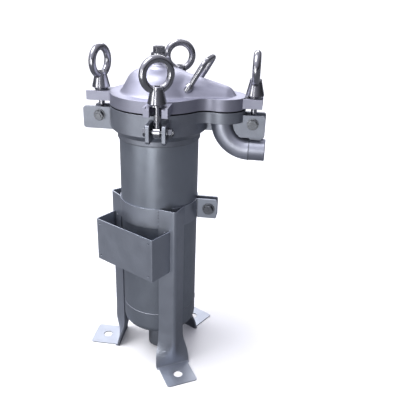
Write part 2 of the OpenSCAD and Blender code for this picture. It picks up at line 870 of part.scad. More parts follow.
module lid_handle() {
    half = handle_span / 2;
    color(bright_steel) {
        for (side = [-1, 1]) {
            handle_leg(side);
            on_lean() translate([side * (half - handle_bend), handle_rise - handle_bend, 0])
                rotate([0, 0, side > 0 ? 0 : 90])
                    rotate_extrude(angle = 90) translate([handle_bend, 0]) circle(d = handle_d);
        }
        on_lean() translate([-half + handle_bend, handle_rise, 0]) rotate([0, 90, 0])
            cylinder(d = handle_d, h = handle_span - 2 * handle_bend);
    }
}

module vent_plug() {
    base = rim_top + dome_h + boss_h + vent_seal_t;
    color(bright_steel) {
        translate([0, 0, base - vent_seal_t - vent_depth])
            cylinder(d = vent_d, h = vent_depth + vent_seal_t + eps);
        translate([0, 0, base]) cylinder(d = vent_collar_d, h = vent_collar_h);
        translate([0, 0, base + vent_collar_h]) rotate([0, 0, 12]) hexagon(vent_hex, vent_hex_h);
    }
}

module vent_seal() {
    base = rim_top + dome_h + boss_h;
    color(black_rubber) tube(vent_collar_d / 2 - 2, vent_d / 2 + running_gap, base, base + vent_seal_t);
}

/* Basket */

basket_r = basket_d / 2;
ring_r = bore_r - basket_gap;
basket_bottom = ledge_z - basket_length;
bail_z = ledge_z + basket_ring_t + bail_bar / 2 + 0.3;
ear_w = 4;
ear_y = bail_r + bail_bar / 2 + eps + ear_w / 2;

module basket_ring() {
    lip = 2.5;
    color(bright_steel) {
        rotate_extrude() polygon([
            [basket_r - basket_wall - lip, ledge_z], [ring_r, ledge_z],
            [ring_r, ledge_z + basket_ring_t - lip],
            [ring_r - lip, ledge_z + basket_ring_t], [basket_r - basket_wall, ledge_z + basket_ring_t],
            [basket_r - basket_wall - lip, ledge_z + basket_ring_t - lip],
        ]);
        for (side = [-1, 1]) translate([0, side * ear_y, 0]) difference() {
            translate([-bail_bar, -ear_w / 2, ledge_z + basket_ring_t - eps])
                cube([2 * bail_bar, ear_w, 2 * bail_bar + eps]);
            translate([0, 0, bail_z]) rotate([90, 0, 0])
                cylinder(d = bail_bar + 2 * running_gap, h = 2 * ear_w, center = true);
        }
    }
}

module basket_wall() {
    pitch = basket_length / (hole_rows + 1);
    color(bright_steel) difference() {
        tube(basket_r, basket_r - basket_wall, basket_bottom, ledge_z);
        for (row = [1 : hole_rows], column = [0 : hole_columns - 1])
            translate([0, 0, basket_bottom + row * pitch])
                rotate([90, 0, (column + 0.5 * (row % 2)) * 360 / hole_columns])
                    translate([0, 0, basket_r - 3 * basket_wall]) cylinder(d = hole_d, h = 6 * basket_wall);
    }
}

module basket_floor() {
    color(bright_steel) translate([0, 0, basket_bottom]) difference() {
        cylinder(r = basket_r - basket_wall, h = basket_wall);
        for (ring = [1 : 3], k = [0 : 6 * ring - 1])
            rotate([0, 0, k * 60 / ring]) translate([ring * basket_r / 4, 0, -eps])
                cylinder(d = hole_d, h = basket_wall + 2 * eps);
    }
}

module basket_bail() {
    tail = ear_y + ear_w / 2 + eps - bail_r;
    color(bright_steel) translate([0, 0, bail_z]) {
        rotate([0, 0, -90]) rotate_extrude(angle = 180) translate([bail_r, 0]) circle(d = bail_bar);
        for (side = [-1, 1]) rotate([side * -90, 0, 0])
            translate([0, 0, bail_r]) cylinder(d = bail_bar, h = tail);
        for (side = [-1, 1]) translate([0, side * bail_r, 0]) sphere(d = bail_bar);
    }
}

/* Stand */

// Length of sheet taken up by each half of the ridge bend
bend_run = leg_nose * leg_angle * PI / 180;

// Point on the leg sheet in plan: s runs along the sheet from the ridge, half is the pressed half angle,
// shift moves out from the middle of the sheet
function sheet_point(s, half, ridge, shift) =
    let (
        nose = bend_run / (half * PI / 180),
        arc = min(abs(s), bend_run),
        turn = half * arc / bend_run,
        rest = abs(s) - arc
    )
    [
        ridge - leg_t / 2 - nose * (1 - cos(turn)) - rest * sin(half) + shift * cos(turn),
        sign(s) * (nose * sin(turn) + rest * cos(half) + shift * sin(turn)),
    ];

// Stations along the sheet: the wing edges, and a few across the ridge bend
sheet_runs = [-leg_side, for (k = [-3 : 3]) k * bend_run / 3, leg_side];

function leg_outline(half, ridge) =
    [
        for (s = sheet_runs) sheet_point(s, half, ridge, leg_t / 2),
        for (k = [len(sheet_runs) - 1 : -1 : 0]) sheet_point(sheet_runs[k], half, ridge, -leg_t / 2),
    ];

flat_r = leg_ridge_r - leg_side * sin(leg_angle) * 0.36;
flat_half = 1.5;

// Solid through a list of [z, outline] rings
module ring_loft(rings) {
    n = len(rings[0][1]);
    m = len(rings);
    polyhedron(
        points = [for (ring = rings, p = ring[1]) [p[0], p[1], ring[0]]],
        faces = [
            [for (k = [0 : n - 1]) k],
            [for (k = [n - 1 : -1 : 0]) (m - 1) * n + k],
            for (j = [0 : m - 2], k = [0 : n - 1]) each [
                [j * n + k, (j + 1) * n + k, (j + 1) * n + (k + 1) % n],
                [j * n + k, (j + 1) * n + (k + 1) % n, j * n + (k + 1) % n],
            ],
        ]
    );
}

// Pressed leg with its foot, ridge along +X
module leg() {
    steps = 6;
    foot_in = flat_r - 1.8 * leg_t;
    translate([0, 0, leg_flatten]) linear_extrude(height = band_top - leg_flatten)
        polygon(leg_outline(leg_angle, leg_ridge_r));
    ring_loft([
        for (k = [0 : steps])
            let (f = k / steps, ease = f * f * (3 - 2 * f))
            [
                leg_t / 2 + (leg_flatten - leg_t / 2) * f,
                leg_outline(
                    flat_half + (leg_angle - flat_half) * ease, flat_r + (leg_ridge_r - flat_r) * ease
                ),
            ],
    ]);
    linear_extrude(height = leg_t) difference() {
        union() {
            translate([foot_in, -foot_w / 2]) square([foot_reach - foot_round - foot_in, foot_w]);
            translate([foot_in, -foot_w / 2 + foot_round])
                square([foot_reach - foot_in, foot_w - 2 * foot_round]);
            for (side = [-1, 1]) translate([foot_reach - foot_round, side * (foot_w / 2 - foot_round)])
                circle(r = foot_round);
        }
        translate([foot_hole_pcr, 0]) circle(d = foot_hole_d);
    }
}

band_in = shell_r + band_gap;
band_out = band_in + leg_t;
// Half angle that a leg covers on the band
leg_cover = max([
    for (shift = [-leg_t / 2, leg_t / 2])
        let (tip = sheet_point(leg_side, leg_angle, leg_ridge_r, shift)) atan2(tip[1], tip[0])
]);
clamp_half = clamp_gap / 2 + clamp_t;

module band_arc(from, to) {
    translate([0, 0, band_top - band_h]) rotate([0, 0, from])
        rotate_extrude(angle = to - from) translate([band_in, 0]) square([leg_t, band_h]);
}

// Outward lug at one side of the band clamp, side is -1 or 1
module clamp_lug(side) {
    r = 6;
    x0 = band_in;
    translate([0, side * (clamp_gap + clamp_t) / 2, band_top - band_h / 2]) difference() {
        on_edge(clamp_t) {
            translate([x0, -band_h / 2]) square([clamp_reach - r - x0, band_h]);
            translate([x0, -band_h / 2 + r]) square([clamp_reach - x0, band_h - 2 * r]);
            for (z = [-1, 1]) translate([clamp_reach - r, z * (band_h / 2 - r)]) circle(r = r);
        }
        translate([clamp_bolt_r, 0, 0]) rotate([90, 0, 0])
            cylinder(d = clamp_bolt_d + 0.4, h = 4 * clamp_t, center = true);
        translate([0, 0, -band_h]) cylinder(r = band_in, h = 2 * band_h);
    }
}

// Leg beside the clamp, with its arm and clamp lug; side is -1 in front and 1 behind
module clamp_leg(side) {
    arm_end = asin((clamp_gap / 2 + clamp_t / 2) / band_out);
    rotate([0, 0, side * 60]) leg();
    if (side < 0) band_arc(-60, -arm_end);
    else band_arc(arm_end, 60);
    clamp_lug(side);
}

module leg_left() {
    reach = 120 - leg_cover - 0.4;
    color(blasted_steel) {
        rotate([0, 0, 180]) leg();
        band_arc(180 - reach, 180 + reach);
    }
}

module leg_front() { color(blasted_steel) clamp_leg(-1); }
module leg_rear() { color(blasted_steel) clamp_leg(1); }

clamp_z = band_top - band_h / 2;
bracket_top = band_top - bracket_drop;

module clamp_bolt() {
    start = clamp_half + clamp_washer_t;
    length = 2 * start + clamp_nut_h + 4;
    color(bright_steel) translate([clamp_bolt_r, 0, clamp_z]) {
        translate([0, -start, 0]) rotate([-90, 0, 0]) cylinder(d = clamp_bolt_d, h = length);
        translate([0, -start, 0]) rotate([90, 0, 0]) hexagon(clamp_hex, clamp_head_h);
    }
}

module clamp_washers() {
    color(bright_steel) translate([clamp_bolt_r, 0, clamp_z]) for (side = [-90, 90]) rotate([side, 0, 0])
        tube(clamp_washer_d / 2, clamp_bolt_d / 2 + 0.2, clamp_half, clamp_half + clamp_washer_t);
}

module clamp_nut() {
    start = clamp_half + clamp_washer_t;
    color(bright_steel) translate([clamp_bolt_r, start, clamp_z]) rotate([-90, 0, 0]) difference() {
        hexagon(clamp_hex, clamp_nut_h);
        translate([0, 0, -eps]) cylinder(d = clamp_bolt_d + 2 * running_gap, h = clamp_nut_h + 2 * eps);
    }
}

/* Nameplate bracket */

// Folded sheet in plan, x outward from the vessel axis
module bracket_plan() {
    back = bracket_face - leg_ridge_r * sin(30) - leg_t;
    half = bracket_w / 2;
    inner = bracket_bend - bracket_t;
    module folded(w, r) {
        translate([bracket_face - w - r, -half + w + r]) for (side = [0, 1])
            translate([0, side * (2 * (half - w - r))]) circle(r = r);
        translate([bracket_face - w - r, -half + w + r]) square([r, 2 * (half - w - r)]);
        translate([bracket_face - back, -half + w]) square([back - w - r, 2 * (half - w)]);
    }
    difference() {
        folded(0, bracket_bend);
        folded(bracket_t, inner);
        translate([bracket_face - back - eps, -half + bracket_t]) square([2 * eps, 2 * (half - bracket_t)]);
    }
}

module nameplate_bracket() {
    edge_y = bracket_w / 2 - plate_hole_inset;
    edge_z = bracket_h / 2 - plate_hole_inset;
    color(blasted_steel) difference() {
        rotate([0, 0, 240]) difference() {
            translate([0, 0, bracket_top - bracket_h]) linear_extrude(height = bracket_h) bracket_plan();
            for (y = [-edge_y, edge_y], z = [-edge_z, edge_z])
                translate([bracket_face, y, bracket_top - bracket_h / 2 + z]) rotate([0, 90, 0])
                    cylinder(d = plate_hole_d, h = 4 * bracket_t, center = true);
        }
        for (a = [180, -60]) rotate([0, 0, a]) translate([0, 0, leg_flatten])
            linear_extrude(height = band_top)
                polygon([
                    for (s = sheet_runs) sheet_point(s, leg_angle, leg_ridge_r, leg_t / 2 + 0.05), [0, 0]
                ]);
    }
}

shell();
bottom_head();
outlet_socket();
flange_casting();
lid_seal();
inlet_elbow();
inlet_pipe();
clevis_left();
clevis_front();
clevis_right();
clevis_rear();
clevis_pins();
pin_washers();
pin_nuts();
swing_bolt_left();
swing_bolt_front();
swing_bolt_right();
swing_bolt_rear();
eye_nut_left();
eye_nut_front();
eye_nut_right();
eye_nut_rear();
lid();
lid_handle();
vent_plug();
vent_seal();
basket_ring();
basket_wall();
basket_floor();
basket_bail();
leg_left();
leg_front();
leg_rear();
clamp_bolt();
clamp_washers();
clamp_nut();
nameplate_bracket();
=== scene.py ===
import json
import math
import random

import bmesh
import bpy
from mathutils import Matrix, Vector


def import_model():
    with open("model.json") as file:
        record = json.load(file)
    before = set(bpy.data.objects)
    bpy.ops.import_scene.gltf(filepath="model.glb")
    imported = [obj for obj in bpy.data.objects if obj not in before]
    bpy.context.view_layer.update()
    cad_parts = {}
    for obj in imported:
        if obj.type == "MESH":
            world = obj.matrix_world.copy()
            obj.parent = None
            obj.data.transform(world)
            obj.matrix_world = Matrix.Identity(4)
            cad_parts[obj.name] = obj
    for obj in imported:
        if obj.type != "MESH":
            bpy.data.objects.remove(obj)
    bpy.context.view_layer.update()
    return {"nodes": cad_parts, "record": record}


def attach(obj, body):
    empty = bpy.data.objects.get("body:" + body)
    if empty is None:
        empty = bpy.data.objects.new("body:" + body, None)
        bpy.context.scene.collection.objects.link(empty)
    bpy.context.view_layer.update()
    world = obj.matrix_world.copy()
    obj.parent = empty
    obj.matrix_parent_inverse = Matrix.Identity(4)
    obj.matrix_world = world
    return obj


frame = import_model()
nodes = frame["nodes"]
scene = bpy.context.scene
random.seed(7)

MM = 0.001


# Materials

STEEL_METALLIC = 0.9
CAST_EDGE = 0.0012
FINE_EDGE = 0.0008
CORNER_SAMPLES = 6
MIX_SHARE, MIX_A, MIX_B, MIX_RESULT = 0, 6, 7, 2  # the colour sockets of a mix node


class Graph:
    """The node tree of a material or world, with short calls for the nodes this script uses."""

    def __init__(self, owner):
        owner.use_nodes = True
        self.owner = owner
        self.tree = owner.node_tree

    def add(self, kind, **inputs):
        node = self.tree.nodes.new(kind)
        for key, value in inputs.items():
            node.inputs[key].default_value = value
        return node

    def feed(self, source, socket):
        """Links source to socket, or sets it on the socket where it is a plain value."""
        if isinstance(source, bpy.types.NodeSocket):
            self.tree.links.new(source, socket)
        else:
            socket.default_value = source

    def noise(self, scale, detail=4.0, rough=0.55, stretch=(1, 1, 1)):
        place = self.add("ShaderNodeTexCoord")
        mapping = self.add("ShaderNodeMapping", Scale=stretch)
        self.feed(place.outputs["Object"], mapping.inputs["Vector"])
        node = self.add("ShaderNodeTexNoise", Scale=scale, Detail=detail, Roughness=rough)
        self.feed(mapping.outputs["Vector"], node.inputs["Vector"])
        return node.outputs["Fac"]

    def spread(self, value, low, high, start=0.3, end=0.7):
        """Value stretched from the range start to end over the range low to high."""
        node = self.add("ShaderNodeMapRange")
        for key, number in (("From Min", start), ("From Max", end), ("To Min", low), ("To Max", high)):
            node.inputs[key].default_value = number
        self.feed(value, node.inputs["Value"])
        return node.outputs["Result"]

    def ramp(self, value, stops):
        node = self.add("ShaderNodeValToRGB")
        elements = node.color_ramp.elements
        while len(elements) < len(stops):
            elements.new(0.5)
        for element, (place, colour) in zip(elements, stops):
            element.position = place
            element.color = (*colour, 1)
        self.feed(value, node.inputs["Fac"])
        return node.outputs["Color"]

    def mix(self, share, a, b, kind="MIX"):
        node = self.add("ShaderNodeMix")
        node.data_type = "RGBA"
        node.blend_type = kind
        for source, index in ((share, MIX_SHARE), (a, MIX_A), (b, MIX_B)):
            self.feed(source, node.inputs[index])
        return node.outputs[MIX_RESULT]

    def bump(self, height, strength, distance, normal):
        node = self.add("ShaderNodeBump", Strength=strength, Distance=distance)
        self.feed(height, node.inputs["Height"])
        self.feed(normal, node.inputs["Normal"])
        return node.outputs["Normal"]

    def soft_edges(self, radius):
        """Normal that is rounded along the edges, and a mask that is 1 on them."""
        bevel = self.add("ShaderNodeBevel", Radius=radius)
        bevel.samples = CORNER_SAMPLES
        flat = self.add("ShaderNodeNewGeometry")
        dot = self.add("ShaderNodeVectorMath")
        dot.operation = "DOT_PRODUCT"
        self.feed(bevel.outputs["Normal"], dot.inputs[0])
        self.feed(flat.outputs["Normal"], dot.inputs[1])
        mask = self.spread(dot.outputs["Value"], low=1.0, high=0.0, start=0.85, end=0.99)
        return bevel.outputs["Normal"], mask

    def painted_corner_shade(self, colour, reach, depth):
        """Colour darkened in the corners by painted shade, from ambient occlusion."""
        node = self.add("ShaderNodeAmbientOcclusion", Distance=reach)
        node.samples = CORNER_SAMPLES
        corner_shade = self.spread(node.outputs["AO"], low=1 - depth, high=1.0, start=0.25, end=0.8)
        return self.mix(1.0, colour, corner_shade, "MULTIPLY")

    def surface(self, sockets):
        """Feeds the shader's sockets by name, and gives the material."""
        for name, source in sockets.items():
            self.feed(source, self.tree.nodes["Principled BSDF"].inputs[name])
        return self.owner


def shade(base, k):
    return tuple(min(1.0, c * k) for c in base)


def blasted(name, base, rough, grain, relief, blotch, edge=CAST_EDGE, edge_wear_and_highlight=1.35):
    """Bead blasted or cast steel: even fine grain, soft patches, and edges brighter from rubbed wear and a
    painted highlight.
    """
    g = Graph(bpy.data.materials.new(name))
    normal, mask = g.soft_edges(edge)
    patch = g.noise(scale=9.0, detail=5.0, rough=0.6)
    fine = g.noise(scale=grain, detail=2.0, rough=0.6)
    tone = g.ramp(patch, [(0.3, shade(base, 1 - blotch)), (0.7, shade(base, 1 + blotch))])
    speck = g.ramp(fine, [(0.35, (0.86, 0.86, 0.86)), (0.65, (1, 1, 1))])
    body = g.mix(0.6, tone, speck, "MULTIPLY")
    # Edges lighter: partly rubbed wear, partly a painted highlight
    worn_and_highlit = g.mix(mask, body, (*shade(base, edge_wear_and_highlight), 1))
    return g.surface({
        # Base colour with painted shade darkening the corners
        "Base Color": g.painted_corner_shade(worn_and_highlit, reach=0.012, depth=0.45),
        "Roughness": g.spread(g.noise(scale=30.0), low=rough - 0.05, high=rough + 0.06),
        "Normal": g.bump(fine, strength=relief, distance=0.0004, normal=normal),
        "Metallic": STEEL_METALLIC,
    })


def polished(name, base, rough):
    """Polished bar and turned parts: faint tool marks and smears."""
    g = Graph(bpy.data.materials.new(name))
    normal, mask = g.soft_edges(FINE_EDGE)
    smear = g.noise(scale=40.0, detail=5.0, rough=0.6)
    marks = g.noise(scale=500.0, detail=2.0, rough=0.5, stretch=(1, 1, 6))
    tone = g.ramp(smear, [(0.3, shade(base, 0.85)), (0.7, shade(base, 1.04))])
    # Edges lighter: partly rubbed wear, partly a painted highlight
    worn_and_highlit = g.mix(mask, tone, (*shade(base, 1.15), 1))
    return g.surface({
        # Base colour with painted shade darkening the corners
        "Base Color": g.painted_corner_shade(worn_and_highlit, reach=0.008, depth=0.7),
        "Roughness": g.spread(smear, low=rough, high=rough + 0.06),
        "Normal": g.bump(marks, strength=0.08, distance=0.0002, normal=normal),
        "Metallic": 1.0,
    })


def rubber(name, base):
    """Black rubber with faint flecks."""
    g = Graph(bpy.data.materials.new(name))
    fleck = g.noise(scale=300.0, detail=3.0)
    return g.surface({
        "Base Color": g.ramp(fleck, [(0.3, shade(base, 0.8)), (0.7, shade(base, 1.3))]),
        "Roughness": g.spread(fleck, low=0.55, high=0.75),
    })


MATERIALS = {
    "cast_steel": blasted(
        "cast steel", (0.32, 0.34, 0.385), rough=0.46, grain=420.0, relief=0.55, blotch=0.12),
    "shell_steel": blasted(
        "shell steel", (0.345, 0.375, 0.425), rough=0.38, grain=1100.0, relief=0.2, blotch=0.06),
    "pipe_steel": blasted(
        "pipe steel", (0.46, 0.48, 0.555), rough=0.42, grain=1100.0, relief=0.2, blotch=0.07),
    "lid_steel": blasted(
        "lid steel", (0.395, 0.4, 0.48), rough=0.5, grain=600.0, relief=0.35, blotch=0.05),
    "polished_steel": polished("polished steel", (0.41, 0.41, 0.435), rough=0.16),
    "fastener_steel": polished("fastener steel", (0.26, 0.27, 0.29), rough=0.24),
    "sheet_steel": blasted(
        "sheet steel", (0.42, 0.45, 0.51), rough=0.40, grain=1300.0, relief=0.2, blotch=0.05,
        edge=FINE_EDGE, edge_wear_and_highlight=1.7),
    "basket_steel": polished("basket steel", (0.6, 0.6, 0.61), rough=0.25),
    "seal_rubber": rubber("seal rubber", (0.012, 0.012, 0.014)),
}
WELD = blasted("weld steel", (0.33, 0.345, 0.385), rough=0.42, grain=500.0, relief=0.3, blotch=0.18)
# A lighter copy of the lid's steel for the lid's top: painted light where the top faces the light
LID_TOP_LIT = blasted("lid top steel painted lighter", (0.5, 0.505, 0.605), rough=0.5, grain=600.0, relief=0.35, blotch=0.05)
# Lighter steel for the elbow: painted light, to brighten it where it lies in the lobe's shade
ELBOW_LIT = blasted("elbow steel painted lighter", (0.58, 0.6, 0.68), rough=0.42, grain=600.0, relief=0.3, blotch=0.08)

slot_of = {s["node"]: s["material_slot"] for s in frame["record"]["subparts"]}
for node_name, node_object in nodes.items():
    # The elbow takes the lighter steel with painted light
    finish = ELBOW_LIT if node_name == "inlet_elbow" else MATERIALS[slot_of[node_name]]
    node_object.data.materials.clear()
    node_object.data.materials.append(finish)


# Sizes of the part's source that the added pieces follow, in mm and degrees

SHELL_R = 109.55
WELD_Z = 177.0
SOCKET_TOP = 62.0
NECK_R = 32.0
BASKET_R = 80.0
BASKET_BOTTOM = 356.0
LEDGE_Z = 756.0

CASTING_Z = 699.0
RING_R = 114.0
RING_H = 12.0
CONE_H = 16.0
FLANGE_Z = 784.0
FLANGE_R = 132.0
LOBE_X = 173.0
LOBE_R = 62.0
BLEND_R = 40.0

LID_GAP = 4.3
LAND_INSET = 9.0
RIM_TOP = 819.3
DOME_H = 66.0
DOME_CROWN = 173.0
DOME_KNUCKLE = 45.0
CROWN_ANGLE = 20.0
FLANK_ANGLE = 61.0
CHANNEL_X = 28.0
CHANNEL_END = 182.0
ROOT_H = 66.0
ROOT_R = 86.0
TIP_H = 24.0
TIP_R = 37.0
BOSS_R = 29.5

PIPE_R = 30.15
ELBOW_TOP = 751.0
ELBOW_X = 249.0
INLET_Z = 675.0

STATION_X = 28.0
CLEVIS_HALF = 25.0
CLEVIS_UP = 22.5
CLEVIS_DOWN = 27.0
CLEVIS_DEEP = 38.0
PIN_Z = 751.0

BAND_OUT = 112.75
BAND_TOP = 521.0
BAND_H = 58.0
CLAMP_HALF = 14.0

LEG_T = 3.0
LEG_SIDE = 50.0
LEG_RIDGE = 140.0
LEG_NOSE = 9.0
LEG_ANGLE = 45.0
LEG_FLATTEN = 92.0
FLAT_HALF = 1.5
FLAT_SHARE = 0.36
FLAT_R = LEG_RIDGE - LEG_SIDE * math.sin(math.radians(LEG_ANGLE)) * FLAT_SHARE
NOSE_RUN = LEG_NOSE * math.radians(LEG_ANGLE)
LEG_TURNS = {"left": 180, "front": -60, "rear": 60}


# Shared shapes of the added pieces

def add_object(name, data):
    obj = bpy.data.objects.new(name, data)
    scene.collection.objects.link(obj)
    return obj


def piece(name, verts, faces, material, body):
    """Smooth mesh, with verts in metres, that rides on a body and takes the finish it is given."""
    mesh = bpy.data.meshes.new(name)
    mesh.from_pydata(verts, [], faces)
    mesh.validate()
    mesh.materials.append(material)
    mesh.shade_smooth()
    obj = add_object(name, mesh)
    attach(obj, body)
    return obj


def clean(obj, merge, upward=False, crease=180):
    """Merges verts, turns the normals outward or upward, and keeps edges sharper than crease sharp."""
    mesh = bmesh.new()
    mesh.from_mesh(obj.data)
    bmesh.ops.remove_doubles(mesh, verts=mesh.verts, dist=merge)
    bmesh.ops.recalc_face_normals(mesh, faces=mesh.faces)
    if upward and sum(face.normal.z for face in mesh.faces) < 0:
        bmesh.ops.reverse_faces(mesh, faces=mesh.faces)
    for edge in mesh.edges:
        if len(edge.link_faces) == 2 and edge.calc_face_angle(0) > math.radians(crease):
            edge.smooth = False
    mesh.to_mesh(obj.data)
    mesh.free()


def turned(x, y, turn):
    """A point in plan, turned about the vessel's axis by degrees."""
    a = math.radians(turn)
    return x * math.cos(a) - y * math.sin(a), x * math.sin(a) + y * math.cos(a)


def smoothstep(t):
    t = min(1.0, max(0.0, t))
    return t * t * (3 - 2 * t)


def teardrop(inset):
    """Outline of flange and lid, inset all round: pairs of a point and the x of its place on the spine."""
    vessel_steps, blend_steps, lobe_steps = 84, 26, 40
    big, small, fill = FLANGE_R - inset, LOBE_R - inset, BLEND_R + inset
    blend_x = (LOBE_X ** 2 + (big + fill) ** 2 - (small + fill) ** 2) / (2 * LOBE_X)
    blend_y = math.sqrt((big + fill) ** 2 - blend_x ** 2)
    at_vessel = math.atan2(blend_y, blend_x)
    at_lobe = math.atan2(blend_y, blend_x - LOBE_X)
    start, end = at_vessel - math.pi, at_lobe - math.pi
    half = []
    for k in range(vessel_steps):
        t = math.pi + (at_vessel - math.pi) * k / vessel_steps
        half.append(((big * math.cos(t), big * math.sin(t)), 0.0))
    for k in range(blend_steps):
        t = start + (end - start) * k / blend_steps
        point = (blend_x + fill * math.cos(t), blend_y + fill * math.sin(t))
        half.append((point, LOBE_X * k / blend_steps))
    for k in range(lobe_steps + 1):
        t = at_lobe * (1 - k / lobe_steps)
        half.append(((LOBE_X + small * math.cos(t), small * math.sin(t)), LOBE_X))
    mirror = [((x, -y), spine) for (x, y), spine in reversed(half[1:-1])]
    return half + mirror


def sheet_point(s, half, ridge, shift):
    """Point on a leg's sheet in plan, as in the part's source."""
    half = math.radians(half)
    nose = NOSE_RUN / half
    arc = min(abs(s), NOSE_RUN)
    turn = half * arc / NOSE_RUN
    rest = abs(s) - arc
    x = ridge - LEG_T / 2 - nose * (1 - math.cos(turn)) - rest * math.sin(half) + shift * math.cos(turn)
    y = nose * math.sin(turn) + rest * math.cos(half) + shift * math.sin(turn)
    return x, math.copysign(y, s)


# Skin of the lid, and lip of its seal

SADDLE_FILLET = 9.0
RIM_FILLET = 7.0
BOSS_FLARE = 12.0
STEEP = 4


def smooth_max(a, b, k):
    h = max(k - abs(a - b), 0.0) / k
    return max(a, b) + h * h * k / 4


def dome_height(r):
    """Crown, knuckle and straight flank of the dome above the rim, at a distance from its axis."""
    crown, flank = math.radians(CROWN_ANGLE), math.radians(FLANK_ANGLE)
    knuckle_x = (DOME_CROWN - DOME_KNUCKLE) * math.sin(crown)
    knuckle_z = DOME_H - DOME_CROWN + (DOME_CROWN - DOME_KNUCKLE) * math.cos(crown)
    if r <= DOME_CROWN * math.sin(crown):
        return DOME_H - DOME_CROWN + math.sqrt(DOME_CROWN ** 2 - r * r)
    flank_x = knuckle_x + DOME_KNUCKLE * math.sin(flank)
    if r <= flank_x:
        return knuckle_z + math.sqrt(DOME_KNUCKLE ** 2 - (r - knuckle_x) ** 2)
    return knuckle_z + DOME_KNUCKLE * math.cos(flank) - (r - flank_x) * math.tan(flank)


def channel_height(x, y):
    """Top of the tapered channel and its ball above the rim; it falls away steeply around them."""
    root = ROOT_H - ROOT_R
    fall = TIP_H - TIP_R - root
    length = math.hypot(CHANNEL_END - CHANNEL_X, fall)
    ax, az = (CHANNEL_END - CHANNEL_X) / length, fall / length
    slope = (ROOT_R - TIP_R) / length
    taper = math.atan(slope)
    ball_r, ball_s = TIP_R / math.cos(taper), length - TIP_R * math.tan(taper)
    ball_x, ball_z = ball_s * ax, root + ball_s * az
    behind = max(0.0, CHANNEL_X - x)
    run = max(x, CHANNEL_X) - CHANNEL_X

    # The height at which the upright line through the point leaves the cone solves a * h² + b * h + c = 0
    a = 1 - az ** 2 - (slope * az) ** 2
    b = 2 * slope * az * ROOT_R - 2 * run * ax * az * (1 + slope ** 2)
    c = run ** 2 + y ** 2 - (run * ax) ** 2 - (ROOT_R - slope * run * ax) ** 2
    d = b * b - 4 * a * c
    over_cone = d >= 0
    if over_cone:
        h = (-b + math.sqrt(d)) / (2 * a)
        if run * ax + h * az <= length:
            return root + h - behind

    reach = math.hypot(run - ball_x, y)
    past_ball = run > ball_x
    if reach < ball_r and (past_ball or not over_cone):
        return ball_z + math.sqrt(ball_r ** 2 - reach ** 2)
    if past_ball:
        return ball_z - STEEP * (reach - ball_r)
    return root - STEEP * (abs(y) - ROOT_R + slope * run) - behind


def lid_height(x, y):
    """Top of the lid above its rim, with fillets at the channel, the rim and the vent boss."""
    r = math.hypot(x, y)
    z = smooth_max(dome_height(r), channel_height(x, y), SADDLE_FILLET)
    z = smooth_max(z, 0.0, RIM_FILLET)
    gap = r - BOSS_R
    if gap < BOSS_FLARE:
        z += BOSS_FLARE - math.sqrt(max(0.0, BOSS_FLARE ** 2 - (BOSS_FLARE - max(gap, 0.0)) ** 2))
    return z


def lid_skin():
    """Top of the cast lid with the fillets of the casting, laid over the plain solid."""
    edge_inset, edge_sunk, proud, rows = 2.5, 0.4, 0.2, 72
    outline = teardrop(edge_inset)
    count = len(outline)
    verts, faces = [], []
    for j in range(rows + 1):
        f = j / rows
        for (px, py), spine in outline:
            x, y = px + (spine - px) * f, py * (1 - f)
            z = lid_height(x, y) + proud if j else -edge_sunk
            verts.append((x * MM, y * MM, (RIM_TOP + z) * MM))
    for j in range(rows):
        for k in range(count):
            m = (k + 1) % count
            faces.append((j * count + k, (j + 1) * count + k, (j + 1) * count + m, j * count + m))
    # The top takes the lighter copy of the lid's steel, with painted light
    obj = piece("lid_skin", verts, faces, LID_TOP_LIT, "lid")
    clean(obj, merge=0.02 * MM, upward=True)


def seal_lip():
    """Black lip of the seal that shows in the gap between lid and flange."""
    stand_out, overlap, foot, head = 1.2, 0.15, 0.1, 0.15
    outer, inner = teardrop(LAND_INSET - stand_out), teardrop(LAND_INSET - overlap)
    levels = (FLANGE_Z + foot, FLANGE_Z + LID_GAP - head)
    verts = [(x * MM, y * MM, z * MM) for line in (outer, inner) for z in levels for (x, y), _ in line]
    count = len(outer)
    faces = []
    for a, b in ((0, 1), (1, 3), (3, 2), (2, 0)):
        for k in range(count):
            m = (k + 1) % count
            faces.append((a * count + k, a * count + m, b * count + m, b * count + k))
    piece("seal_lip", verts, faces, MATERIALS["seal_rubber"], "housing")


# Weld beads

RIPPLE = 3.4
BEAD_STEP = 0.85
BEAD_SIDES = 8
RIPPLE_SHARE = 0.13
DRIFT_STEP = 9
DRIFT_SHARE = 0.1
TAPER_STEPS = 3
TAPER_START = 0.35
RING_POINTS = 96
CLEAR = 0.4


def resample(path, closed):
    """Points along a polyline, about a bead's step apart."""
    points = [Vector(p) for p in path]
    if closed:
        points.append(points[0])
    spans = [(b - a).length for a, b in zip(points, points[1:])]
    total = sum(spans)
    count = max(3, round(total / BEAD_STEP))
    result, i, done = [], 0, 0.0
    for k in range(count if closed else count + 1):
        target = total * k / count
        while i < len(spans) - 1 and done + spans[i] < target:
            done += spans[i]
            i += 1
        share = min(1.0, (target - done) / max(spans[i], 1e-9))
        result.append(points[i].lerp(points[i + 1], share))
    return result


